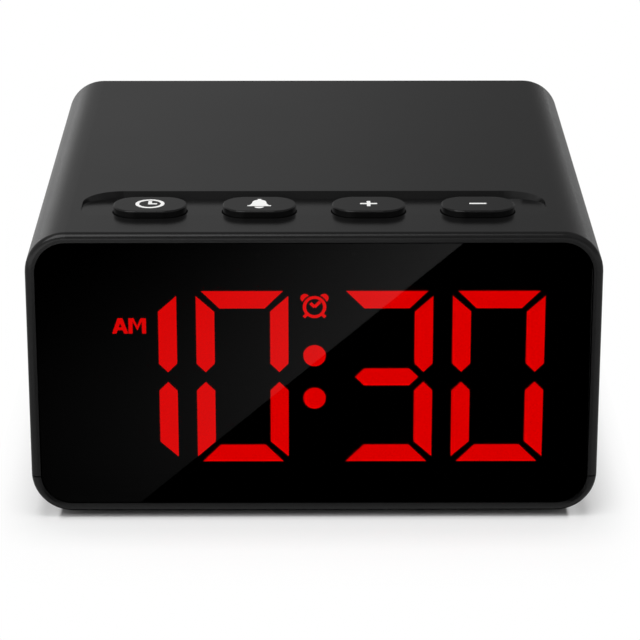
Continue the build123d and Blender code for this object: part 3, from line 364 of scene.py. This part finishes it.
def sign_mark(spot, marks, ways):
    """Plus or minus: bars drawn out both ways along each given direction."""
    reach = (marks.sign - marks.stroke) / 2
    piece = bars(spot, marks.stroke, marks.ink, [(way, reach) for way in ways])
    round_corners(marks.stroke / 8)
    bpy.ops.object.mode_set(mode="OBJECT")
    return piece


def dial_mark(spot, marks):
    """A clock face: a ring with an hour hand and a minute hand."""
    start_piece()
    bpy.ops.mesh.primitive_cylinder_add(
        vertices=64, radius=marks.dial / 2, depth=marks.ink, location=spot + Vector((0, 0, marks.ink / 2))
    )
    ring = bpy.context.object
    edit("FACE")
    pick_faces(lambda normal, middle: abs(normal.z) > 0.9)
    bpy.ops.mesh.inset(thickness=marks.stroke, use_individual=True)
    bpy.ops.mesh.bridge_edge_loops()
    bpy.ops.object.mode_set(mode="OBJECT")
    minute = marks.dial / 2 - 2 * marks.stroke
    hands = bars(spot, marks.stroke, marks.ink, [((0, 1, 0), minute), ((1, 0, 0), minute * 0.75)])
    round_corners(marks.stroke / 8)
    bpy.ops.object.mode_set(mode="OBJECT")
    return join([ring, hands])


def bell_half_width(rise, half):
    """Half the width of a bell at a share of its height: a rim, a flared skirt, a dome and a knob."""
    rim, shoulder, crown = 0.12, 0.5, 0.9
    dome = 0.6 * half
    if rise <= rim:
        return half
    if rise <= shoulder:
        flare = (shoulder - rise) / (shoulder - rim)
        return dome + (0.85 * half - dome) * flare**2
    if rise <= crown:
        return max(dome * math.sqrt(1 - ((rise - shoulder) / (crown - shoulder)) ** 2), 0.15 * half)
    return 0.15 * half


def bell_mark(spot, marks):
    """A bell, shaped row by row from a grid, with half a disc below as its clapper."""
    rows = 40
    start_piece()
    bpy.ops.mesh.primitive_grid_add(x_subdivisions=2, y_subdivisions=rows, size=marks.bell)
    bell = bpy.context.object
    edit("VERT")
    for row in range(rows + 1):
        height = marks.bell * (row / rows - 0.5)
        pick_row(height)
        stretch = bell_half_width(row / rows, marks.bell / 2) / (marks.bell / 2)
        bpy.ops.transform.resize(value=(stretch, 1, 1), center_override=(0, height, 0))
    bpy.ops.object.mode_set(mode="OBJECT")
    start_piece()
    under = (0, -marks.bell / 2 - marks.stroke / 2, 0)
    bpy.ops.mesh.primitive_circle_add(vertices=48, radius=marks.clapper, fill_type="NGON", location=under)
    clapper = bpy.context.object
    bpy.ops.object.transform_apply(location=True, rotation=True, scale=True)
    edit("FACE")
    bpy.ops.mesh.select_all(action="SELECT")
    bpy.ops.mesh.bisect(plane_co=under, plane_no=(0, 1, 0), clear_outer=True)
    bpy.ops.object.mode_set(mode="OBJECT")
    piece = join([bell, clapper])
    thickness = piece.modifiers.new("Ink", "SOLIDIFY")
    thickness.thickness = marks.ink
    thickness.offset = 1.0
    bpy.ops.object.modifier_apply(modifier=thickness.name)
    piece.location = spot + Vector((0, marks.stroke, 0))
    return piece


class CLOCK_OT_marks(Operator):
    """Print the marks on the button caps"""

    bl_idname = "clock.marks"
    bl_label = "Button marks"

    def execute(self, context):
        marks = context.scene.clock_marks
        ink = moulded(
            "mark_ink", context.scene.clock_finish.ink, 0.5, grain=0.12 * MM, depth=0.003 * MM, tone=0.06
        )
        across = [(1, 0, 0), (-1, 0, 0)]
        along = [(0, 1, 0), (0, -1, 0)]
        prints = {
            "time": dial_mark(cap_middle("time"), marks),
            "alarm": bell_mark(cap_middle("alarm"), marks),
            "plus": sign_mark(cap_middle("plus"), marks, across + along),
            "minus": sign_mark(cap_middle("minus"), marks, across),
        }
        for name, piece in prints.items():
            printed(f"{name}_print", piece, f"{name}_key", ink)
        return {"FINISHED"}


class CLOCK_OT_window(Operator):
    """Finish the smoked front window and its tape"""

    bl_idname = "clock.window"
    bl_label = "Window"

    def execute(self, context):
        look = context.scene.clock_finish
        smoke, tree, shader = blank("window_acrylic", IOR=1.49, Transmission_Weight=1.0)
        spot = place(tree, "ShaderNodeTexCoord").outputs["Object"]
        film = place(tree, "ShaderNodeTexNoise", {"Vector": spot, "Scale": 60.0, "Detail": 2.0})
        gloss = place(
            tree, "ShaderNodeMapRange", {"Value": film.outputs[0], "To Min": 0.0, "To Max": 0.03}
        )
        tree.links.new(gloss.outputs[0], shader.inputs["Roughness"])
        shader.inputs["Base Color"].default_value = (*look.smoke, 1.0)
        dress(smoke, "front_window")
        dress(moulded("black_film", (0.004, 0.004, 0.004), 0.7), "window_tape", "display_mask")
        return {"FINISHED"}


class CLOCK_OT_display(Operator):
    """Finish the reflector and light the segments"""

    bl_idname = "clock.display"
    bl_label = "Display"

    def execute(self, context):
        look = context.scene.clock_finish
        lit, tree, shader = blank("lit_segment", Roughness=0.4, Emission_Strength=look.glow)
        shader.inputs["Base Color"].default_value = (0.2, 0.0, 0.0, 1.0)
        spot = place(tree, "ShaderNodeTexCoord").outputs["Object"]
        cloud = place(tree, "ShaderNodeTexNoise", {"Vector": spot, "Scale": 300.0, "Detail": 1.0})
        even = place(
            tree, "ShaderNodeMapRange", {"Value": cloud.outputs[0], "To Min": 0.95, "To Max": 1.0}
        )
        light = place(
            tree, "ShaderNodeVectorMath", {0: (*look.lit,), "Scale": even.outputs[0]}, operation="SCALE"
        )
        tree.links.new(light.outputs[0], shader.inputs["Emission Color"])
        dress(lit, *LIT)
        dress(moulded("unlit_segment", (0.004, 0.003, 0.003), 0.6), "unlit_segments")
        dress(moulded("reflector_plastic", (0.006, 0.006, 0.006), 0.6), "display_reflector")
        dress(moulded("led_lens", (0.75, 0.6, 0.45), 0.25, depth=0.004 * MM), "led_chips")
        return {"FINISHED"}


def board_material():
    """Green solder mask over copper traces, with small vias."""
    material, tree, shader = blank("circuit_board", Coat_Roughness=0.2)
    spot = place(tree, "ShaderNodeTexCoord").outputs["Object"]
    lines = place(
        tree, "ShaderNodeTexWave", {"Vector": spot, "Scale": 190.0, "Distortion": 6.0, "Detail Scale": 0.6}
    )
    trace = place(
        tree, "ShaderNodeMapRange", {"Value": lines.outputs[1], "From Min": 0.75, "From Max": 0.8}
    )
    vias = place(tree, "ShaderNodeTexVoronoi", {"Vector": spot, "Scale": 260.0})
    hole = place(
        tree,
        "ShaderNodeMapRange",
        {"Value": vias.outputs["Distance"], "From Min": 0.14, "From Max": 0.1},
    )
    mask = place(
        tree,
        "ShaderNodeMix",
        {0: trace.outputs[0], 6: (0.008, 0.075, 0.03, 1.0), 7: (0.02, 0.14, 0.055, 1.0)},
        data_type="RGBA",
    )
    tin = place(
        tree,
        "ShaderNodeMix",
        {0: hole.outputs[0], 6: mask.outputs[2], 7: (0.6, 0.58, 0.52, 1.0)},
        data_type="RGBA",
    )
    rise = math_node(tree, "MAXIMUM", trace.outputs[0], hole.outputs[0])
    bump = place(tree, "ShaderNodeBump", {"Distance": 0.03 * MM, "Height": rise})
    gloss = place(tree, "ShaderNodeMapRange", {"Value": rise, "To Min": 0.38, "To Max": 0.28})
    tree.links.new(tin.outputs[2], shader.inputs["Base Color"])
    tree.links.new(gloss.outputs[0], shader.inputs["Roughness"])
    tree.links.new(bump.outputs[0], shader.inputs["Normal"])
    return material


def metal(name, tint, roughness, scale=900.0):
    """A plated metal with fine drawn lines and uneven gloss."""
    material, tree, shader = blank(name, Metallic=1.0)
    spot = place(tree, "ShaderNodeTexCoord").outputs["Object"]
    drawn = place(tree, "ShaderNodeMapping", {"Vector": spot, "Scale": (1.0, 0.08, 1.0)})
    lines = place(tree, "ShaderNodeTexNoise", {"Vector": drawn.outputs[0], "Scale": scale, "Detail": 3.0})
    gloss = place(
        tree,
        "ShaderNodeMapRange",
        {"Value": lines.outputs[0], "To Min": roughness * 0.7, "To Max": roughness * 1.3},
    )
    tone = place(tree, "ShaderNodeMapRange", {"Value": lines.outputs[0], "To Min": 0.85, "To Max": 1.1})
    shade = place(tree, "ShaderNodeVectorMath", {0: tint, "Scale": tone.outputs[0]}, operation="SCALE")
    bump = place(tree, "ShaderNodeBump", {"Distance": 0.004 * MM, "Height": lines.outputs[0]})
    tree.links.new(shade.outputs[0], shader.inputs["Base Color"])
    tree.links.new(gloss.outputs[0], shader.inputs["Roughness"])
    tree.links.new(bump.outputs[0], shader.inputs["Normal"])
    return material


def striped(name, axis, width, first, second, roughness):
    """A glossy sleeve with stripes across one axis."""
    material, tree, shader = blank(name, Roughness=roughness)
    spot = place(tree, "ShaderNodeTexCoord").outputs["Object"]
    parts = place(tree, "ShaderNodeSeparateXYZ", {0: spot})
    turns = math_node(tree, "DIVIDE", parts.outputs[axis], width)
    wave = math_node(tree, "SINE", math_node(tree, "MULTIPLY", turns, math.tau))
    stripe = place(
        tree, "ShaderNodeMapRange", {"Value": wave, "From Min": -0.2, "From Max": 0.2}
    )
    shade = place(
        tree, "ShaderNodeMix", {0: stripe.outputs[0], 6: (*first, 1.0), 7: (*second, 1.0)}, data_type="RGBA"
    )
    bump = place(tree, "ShaderNodeBump", {"Distance": 0.1 * MM, "Height": wave})
    tree.links.new(shade.outputs[2], shader.inputs["Base Color"])
    tree.links.new(bump.outputs[0], shader.inputs["Normal"])
    return material


class CLOCK_OT_boards(Operator):
    """Finish the circuit boards and what they carry"""

    bl_idname = "clock.boards"
    bl_label = "Boards"

    def execute(self, context):
        dress(board_material(), "display_board", "key_board", "main_board")
        chip = moulded("chip_plastic", (0.012, 0.012, 0.012), 0.55)
        dress(chip, "display_driver", "controller_chip", "buzzer", "socket_tongue", "switch_bodies")
        tin = metal("tinned_metal", (0.72, 0.72, 0.70), 0.28)
        dress(tin, "crystal", "power_socket", "key_pins", "battery_contacts")
        can = striped("capacitor_sleeve", 0, 8.0 * MM, (0.006, 0.008, 0.02), (0.10, 0.11, 0.14), 0.3)
        dress(can, "capacitor")
        dress(moulded("connector_plastic", (0.75, 0.72, 0.62), 0.4, tone=0.06), "cable_connectors")
        ribbon = striped("ribbon_plastic", 0, 1.27 * MM, (0.32, 0.32, 0.33), (0.42, 0.42, 0.43), 0.45)
        dress(ribbon, "ribbon_cable")
        return {"FINISHED"}


def cell_material():
    """Printed cell sleeve: a dark body with a copper band at each positive end, every second cell turned."""
    low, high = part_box("battery_cells")
    middle = (low.y + high.y) / 2
    pitch = (high.y - low.y) / 3
    material, tree, shader = blank("cell_sleeve", Roughness=0.28)
    spot = place(tree, "ShaderNodeTexCoord").outputs["Object"]
    parts = place(tree, "ShaderNodeSeparateXYZ", {0: spot})
    turned = place(
        tree,
        "ShaderNodeMath",
        {0: parts.outputs[1], 1: middle, 2: pitch / 2},
        operation="COMPARE",
    ).outputs[0]
    way = math_node(tree, "SUBTRACT", 1.0, math_node(tree, "MULTIPLY", turned, 2.0))
    along = math_node(tree, "MULTIPLY", parts.outputs[0], way)
    band = place(
        tree,
        "ShaderNodeMapRange",
        {"Value": along, "From Min": 0.3 * high.x, "From Max": 0.31 * high.x},
    )
    can = place(
        tree,
        "ShaderNodeMapRange",
        {"Value": along, "From Min": 0.955 * high.x, "From Max": 0.96 * high.x},
    )
    sleeve = place(
        tree,
        "ShaderNodeMix",
        {0: band.outputs[0], 6: (0.012, 0.013, 0.016, 1.0), 7: (0.50, 0.20, 0.07, 1.0)},
        data_type="RGBA",
    )
    steel = place(
        tree,
        "ShaderNodeMix",
        {0: can.outputs[0], 6: sleeve.outputs[2], 7: (0.7, 0.7, 0.68, 1.0)},
        data_type="RGBA",
    )
    tree.links.new(steel.outputs[2], shader.inputs["Base Color"])
    tree.links.new(math_node(tree, "MAXIMUM", can.outputs[0], band.outputs[0]), shader.inputs["Metallic"])
    return material


class CLOCK_OT_hardware(Operator):
    """Finish the cells, the screws and the rubber feet"""

    bl_idname = "clock.hardware"
    bl_label = "Cells, screws and feet"

    def execute(self, context):
        dress(cell_material(), "battery_cells")
        dress(metal("screw_steel", (0.5, 0.5, 0.49), 0.35), "case_screws", "board_screws")
        dress(moulded("foot_rubber", (0.015, 0.015, 0.015), 0.75, depth=0.02 * MM), "rubber_feet")
        return {"FINISHED"}


def grey_ramp(tree, value, stops):
    """Grey levels along a value from 0 to 1; the first stop is at 0."""
    ramp = place(tree, "ShaderNodeValToRGB", {0: value})
    elements = ramp.color_ramp.elements
    elements.remove(elements[-1])
    elements[0].color = (stops[0][1],) * 3 + (1.0,)
    for where, grey in stops[1:]:
        elements.new(where).color = (grey, grey, grey, 1.0)
    return ramp.outputs[0]


def area_lamp(name, spot, aim, size, power):
    """A soft rectangular lamp that looks at a point."""
    way = Vector(aim) - Vector(spot)
    turn = way.to_track_quat("-Z", "Y").to_euler()
    bpy.ops.object.light_add(type="AREA", location=spot, rotation=turn)
    lamp = bpy.context.object
    lamp.name = name
    lamp.data.shape = "RECTANGLE"
    lamp.data.size, lamp.data.size_y = size
    lamp.data.energy = power
    return lamp


def floor_material(tint):
    """White table: near the clock it shows the clock's real shadow, and further out a white glow fades in
    with distance from the clock's footprint, painting a soft shade around the clock, until it is evenly
    white.
    """
    half_width, half_depth, narrow = 0.043, 0.0494, 2.2
    inner, outer = -2.0 * MM, 30.0 * MM
    material, tree, shader = blank("studio_floor", Roughness=0.9, Specular_IOR_Level=0.0)
    shader.inputs["Base Color"].default_value = (*tint, 1.0)
    rays = place(tree, "ShaderNodeLightPath")
    parts = place(tree, "ShaderNodeSeparateXYZ", {0: place(tree, "ShaderNodeTexCoord").outputs["Object"]})
    aside = math_node(tree, "SUBTRACT", math_node(tree, "ABSOLUTE", parts.outputs[0]), half_width)
    aside = math_node(tree, "MULTIPLY", aside, narrow)
    ahead = math_node(tree, "SUBTRACT", math_node(tree, "ABSOLUTE", parts.outputs[1]), half_depth)
    under = math_node(tree, "MINIMUM", math_node(tree, "MAXIMUM", aside, ahead), 0.0)
    squares = [math_node(tree, "POWER", math_node(tree, "MAXIMUM", way, 0.0), 2.0) for way in (aside, ahead)]
    outside = math_node(tree, "SQRT", math_node(tree, "ADD", *squares))
    away = math_node(tree, "ADD", outside, under)
    reach = place(tree, "ShaderNodeMapRange", {"Value": away, "From Min": inner, "From Max": outer})
    # The white glow is weak near the clock, so the real shadow shows there, and its slow rise with distance
    # paints a soft shade around the clock.
    contact = [(0.0, 0.0), (0.072, 0.0), (0.1, 0.32), (0.12, 0.41), (0.17, 0.42)]
    further = [(0.25, 0.36), (0.44, 0.4), (0.63, 0.62), (0.81, 0.87), (1.0, 1.0)]
    glow_share_painting_shade = grey_ramp(tree, reach.outputs[0], contact + further)
    seen = math_node(tree, "MAXIMUM", rays.outputs["Is Camera Ray"], rays.outputs["Is Glossy Ray"])
    seen = math_node(tree, "MAXIMUM", seen, rays.outputs["Is Transmission Ray"])
    glow = math_node(tree, "MULTIPLY", seen, glow_share_painting_shade)
    white = place(tree, "ShaderNodeEmission", {"Color": (1.0, 1.0, 1.0, 1.0), "Strength": 1.0})
    mixed = place(tree, "ShaderNodeMixShader", {0: glow, 1: shader.outputs[0], 2: white.outputs[0]})
    tree.links.new(mixed.outputs[0], tree.nodes["Material Output"].inputs["Surface"])
    return material


def studio_world():
    """A dim room that is lighter on the left, with a glow low down at both sides."""
    world = bpy.data.worlds.new("studio_world")
    bpy.context.scene.world = world
    world.use_nodes = True
    tree = world.node_tree
    way = place(tree, "ShaderNodeTexCoord").outputs["Generated"]
    parts = place(tree, "ShaderNodeSeparateXYZ", {0: way})
    side_reach = 0.35
    behind = [(0.0, 0.13), (0.12, 0.14), (0.26, 0.19), (0.31, 0.23), (0.5, 0.19), (0.85, 0.17), (1.0, 0.25)]
    ahead = [(0.0, 0.3), (0.1, 0.25), (0.16, 0.21), (0.28, 0.22), (0.45, 0.18), (0.7, 0.25), (1.0, 0.25)]
    left = [(0.0, 1.9), (0.07, 1.75), (0.16, 1.45), (0.4, 1.22)]
    right = [(0.5, 1.03), (0.6, 0.7), (0.84, 0.8), (1.0, 1.1)]
    horizon = [(0.0, 0.23), (0.05, 0.28), (0.1, 0.26), (0.16, 0.12), (0.2, 0.04), (0.25, 0.0), (1.0, 0.0)]
    sides = [(0.0, 1.0), (0.11, 1.0), (0.33, 0.0), (0.67, 0.0), (0.89, 0.38), (1.0, 0.38)]
    sideways = place(
        tree,
        "ShaderNodeMapRange",
        {"Value": parts.outputs[0], "From Min": -side_reach, "From Max": side_reach},
    )
    facing = math_node(tree, "LESS_THAN", parts.outputs[1], 0.0)
    rear, front = [grey_ramp(tree, parts.outputs[2], stops) for stops in (behind, ahead)]
    level_up = place(tree, "ShaderNodeMix", {0: facing, 6: rear, 7: front}, data_type="RGBA")
    level_across = grey_ramp(tree, sideways.outputs[0], left + right)
    room = math_node(tree, "MULTIPLY", level_up.outputs[2], level_across)
    low = grey_ramp(tree, parts.outputs[2], horizon)
    glow = math_node(tree, "MULTIPLY", low, grey_ramp(tree, sideways.outputs[0], sides))
    light = math_node(tree, "ADD", room, glow)
    tree.links.new(light, tree.nodes["Background"].inputs["Color"])


def card_light(tree, spot):
    """Light on the card: grey, lighter on the left and far in front, and dark under the clock as a painted
    shadow of the clock, with a dark wedge that the window mirrors and a sheen in the wedge left of a
    slanting line."""
    near, far = Vector((-0.0293, -0.0555, 0.0)), Vector((0.0342, -0.2008, 0.0))
    half_near, spread, close = 0.0412, 0.102, -0.0541
    fade_width, falloff, dim, bright = 0.08, 2.2, 0.06, 0.36
    half_clock, under = 0.06, (0.047, 0.0492)
    run = (far - near).normalized()
    across = Vector((run.y, -run.x, 0.0))
    parts = place(tree, "ShaderNodeSeparateXYZ", {0: spot})
    offset = place(tree, "ShaderNodeVectorMath", {0: spot, 1: near}, operation="SUBTRACT").outputs[0]

    def distance(way):
        ends = {0: offset, 1: way}
        return place(tree, "ShaderNodeVectorMath", ends, operation="DOT_PRODUCT").outputs["Value"]

    side, along = distance(across), distance(run)
    fade = place(
        tree,
        "ShaderNodeMapRange",
        {"Value": side, "From Min": 0.0, "From Max": fade_width, "To Min": 1.0, "To Max": 0.0},
    )
    fall = math_node(tree, "POWER", fade.outputs[0], falloff)
    left = math_node(tree, "MULTIPLY", fall, math_node(tree, "GREATER_THAN", side, 0.0))
    rise = place(
        tree,
        "ShaderNodeMapRange",
        {"Value": along, "From Min": 0.0, "From Max": (far - near).length, "To Min": dim, "To Max": bright},
    )
    sheen = math_node(tree, "MULTIPLY", left, rise.outputs[0])
    width = math_node(tree, "SUBTRACT", half_near, math_node(tree, "MULTIPLY", parts.outputs[1], spread))
    inside = math_node(tree, "LESS_THAN", math_node(tree, "ABSOLUTE", parts.outputs[0]), width)
    wedge = math_node(tree, "MULTIPLY", inside, math_node(tree, "GREATER_THAN", parts.outputs[1], far.y))
    wedge = math_node(tree, "MULTIPLY", wedge, math_node(tree, "LESS_THAN", parts.outputs[1], close))

    def sideways(first, last):
        ends = {"From Min": -half_clock, "From Max": half_clock, "To Min": first, "To Max": last}
        return place(tree, "ShaderNodeMapRange", {"Value": parts.outputs[0], **ends}).outputs[0]

    def zone(test, limit, grey):
        return math_node(tree, "MULTIPLY", math_node(tree, test, parts.outputs[1], limit), grey)

    behind = zone("GREATER_THAN", 0.0, sideways(0.45, 0.3))
    beyond = zone("LESS_THAN", far.y, sideways(0.9, 0.4))
    grey = math_node(tree, "MAXIMUM", zone("LESS_THAN", close, 0.35), zone("LESS_THAN", 0.0, 0.35))
    grey = math_node(tree, "MAXIMUM", grey, math_node(tree, "MAXIMUM", behind, beyond))
    # The card is made dark under the clock: a painted shadow, so that reflections show the table shaded
    # there.
    painted_shadow_under_clock = [
        math_node(tree, "LESS_THAN", math_node(tree, "ABSOLUTE", parts.outputs[i]), half)
        for i, half in enumerate(under)
    ]
    for mask in (wedge, math_node(tree, "MULTIPLY", *painted_shadow_under_clock)):
        grey = math_node(tree, "MULTIPLY", grey, math_node(tree, "SUBTRACT", 1.0, mask))
    return math_node(tree, "ADD", grey, math_node(tree, "MULTIPLY", sheen, wedge))


def reflection_card():
    """A large card on the table, seen only in reflections."""
    start_piece()
    bpy.ops.mesh.primitive_plane_add(size=CARD_SIZE, location=(0, 0, CARD_LIFT))
    card = bpy.context.object
    bpy.ops.object.transform_apply(location=True, rotation=True, scale=True)
    card.name = "reflection_card"
    material, tree = blank("card_grey")[:2]
    spot = place(tree, "ShaderNodeTexCoord").outputs["Object"]
    glow = place(tree, "ShaderNodeEmission", {"Color": card_light(tree, spot), "Strength": 1.0})
    tree.links.new(glow.outputs[0], tree.nodes["Material Output"].inputs["Surface"])
    card.data.materials.append(material)
    card.visible_camera = False
    card.visible_diffuse = False
    card.visible_shadow = False


class CLOCK_OT_studio(Operator):
    """Set up the floor, the lamps, the world and the camera"""

    bl_idname = "clock.studio"
    bl_label = "Studio"

    def execute(self, context):
        studio = context.scene.clock_studio
        start_piece()
        bpy.ops.mesh.primitive_plane_add(size=FLOOR_SIZE, location=(0, 0, 0))
        floor = context.object
        floor.name = "floor"
        floor.data.materials.append(floor_material(studio.floor))
        reflection_card()
        fill = area_lamp("fill", *FILL_LAMP, studio.fill)
        fill.visible_glossy = False
        area_lamp("key", *KEY_LAMP, studio.key)
        studio_world()
        bpy.ops.object.camera_add(
            location=studio.eye, rotation=(math.pi / 2 - studio.pitch, 0.0, -studio.yaw)
        )
        camera = context.object
        camera.name = "camera"
        camera.data.lens = studio.lens
        camera.data.sensor_width = SENSOR
        camera.data.clip_start = NEAREST
        context.scene.camera = camera
        context.scene.view_settings.view_transform = "Standard"
        return {"FINISHED"}


class CLOCK_PT_sidebar(Panel):
    """The clock's steps and settings"""

    bl_idname = "CLOCK_PT_sidebar"
    bl_label = "Desk clock"
    bl_space_type = "VIEW_3D"
    bl_region_type = "UI"
    bl_category = "Desk clock"

    def draw(self, context):
        for step in STEPS:
            self.layout.operator(step.bl_idname)
        for settings in (context.scene.clock_finish, context.scene.clock_marks, context.scene.clock_studio):
            box = self.layout.box()
            for key in settings.__annotations__:
                box.prop(settings, key)


STEPS = (
    CLOCK_OT_case,
    CLOCK_OT_buttons,
    CLOCK_OT_marks,
    CLOCK_OT_window,
    CLOCK_OT_display,
    CLOCK_OT_boards,
    CLOCK_OT_hardware,
    CLOCK_OT_studio,
)
SETTINGS = {"clock_finish": ClockFinish, "clock_marks": ClockMarks, "clock_studio": ClockStudio}


def register():
    for kind in (*SETTINGS.values(), *STEPS, CLOCK_PT_sidebar):
        bpy.utils.register_class(kind)
    for name, kind in SETTINGS.items():
        setattr(bpy.types.Scene, name, PointerProperty(type=kind))


def unregister():
    for name in SETTINGS:
        delattr(bpy.types.Scene, name)
    for kind in reversed((*SETTINGS.values(), *STEPS, CLOCK_PT_sidebar)):
        bpy.utils.unregister_class(kind)


def main():
    register()
    bpy.ops.clock.case()
    bpy.ops.clock.buttons()
    bpy.ops.clock.marks()
    bpy.ops.clock.window()
    bpy.ops.clock.display()
    bpy.ops.clock.boards()
    bpy.ops.clock.hardware()
    bpy.ops.clock.studio()


if __name__ == "__main__":
    main()
